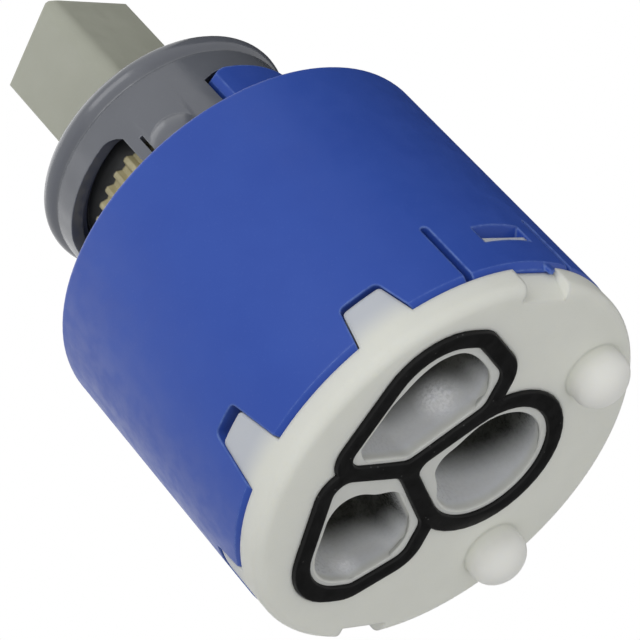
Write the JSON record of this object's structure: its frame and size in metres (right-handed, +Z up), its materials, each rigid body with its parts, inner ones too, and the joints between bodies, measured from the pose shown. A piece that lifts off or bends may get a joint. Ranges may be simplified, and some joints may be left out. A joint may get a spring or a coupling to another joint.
{
  "type": "faucet cartridge",
  "caption": "Round single-lever mixer cartridge with ceramic discs, three sealed ports, two locating pegs and a square lever.",
  "frame": {"origin": "on the cartridge's axis, in the plane of the base's sealing face", "axes": "+Z up the axis toward the lever, +Y toward the outlet and the two pegs, the lever tilts in the YZ plane"},
  "size_m": [0.035, 0.035, 0.0599],
  "materials": {
    "housing": "satin moulded acetal, blue",
    "base": "satin moulded acetal, natural white",
    "seal": "moulded elastomer, black",
    "fixed_disc": "lapped alumina",
    "moving_disc": "lapped alumina",
    "sound_insert": "moulded",
    "carrier": "moulded acetal",
    "rotor": "moulded, cream",
    "slide_ring": "low-friction ring",
    "lever": "filled polymer, ivory grey",
    "steel": "ground stainless pin",
    "collar": "moulded acetal, grey"
  },
  "bodies": {
    "cartridge_body": {"housing": "housing", "base": "base", "base_seal": "seal", "disc_seal": "seal", "fixed_disc": "fixed_disc", "slide_ring": "slide_ring"},
    "turning_rotor": {"rotor": "rotor", "lever_pin": "steel", "detent_spring": "steel", "detent_ball": "steel"},
    "tilting_lever": {"lever": "lever"},
    "disc_slider": {"moving_disc": "moving_disc", "sound_insert": "sound_insert", "chamber_seal": "seal", "disc_carrier": "carrier"},
    "stop_collar": {"collar": "collar"}
  },
  "joints": [
    {"name": "rotor_turn", "type": "hinge", "parent": "cartridge_body", "child": "turning_rotor", "pos_m": [0, 0, 0.022], "axis": [0, 0, 1], "range_deg": [-50, 2]},
    {"name": "lever_tilt", "type": "hinge", "parent": "turning_rotor", "child": "tilting_lever", "pos_m": [0, 0, 0.03055], "axis": [1, 0, 0], "range_deg": [-12.5, 12.5]},
    {"name": "disc_slide", "type": "slide", "parent": "turning_rotor", "child": "disc_slider", "axis": [0, 1, 0], "range_m": [-0.00255, 0.00255]},
    {"name": "collar_lift", "type": "slide", "parent": "turning_rotor", "child": "stop_collar", "axis": [0, 0, 1], "range_m": [0, 0.006]}
  ],
  "couplings": [
    {"joint": "disc_slide", "follows": "lever_tilt", "m_per_rad": 0.01163}
  ]
}
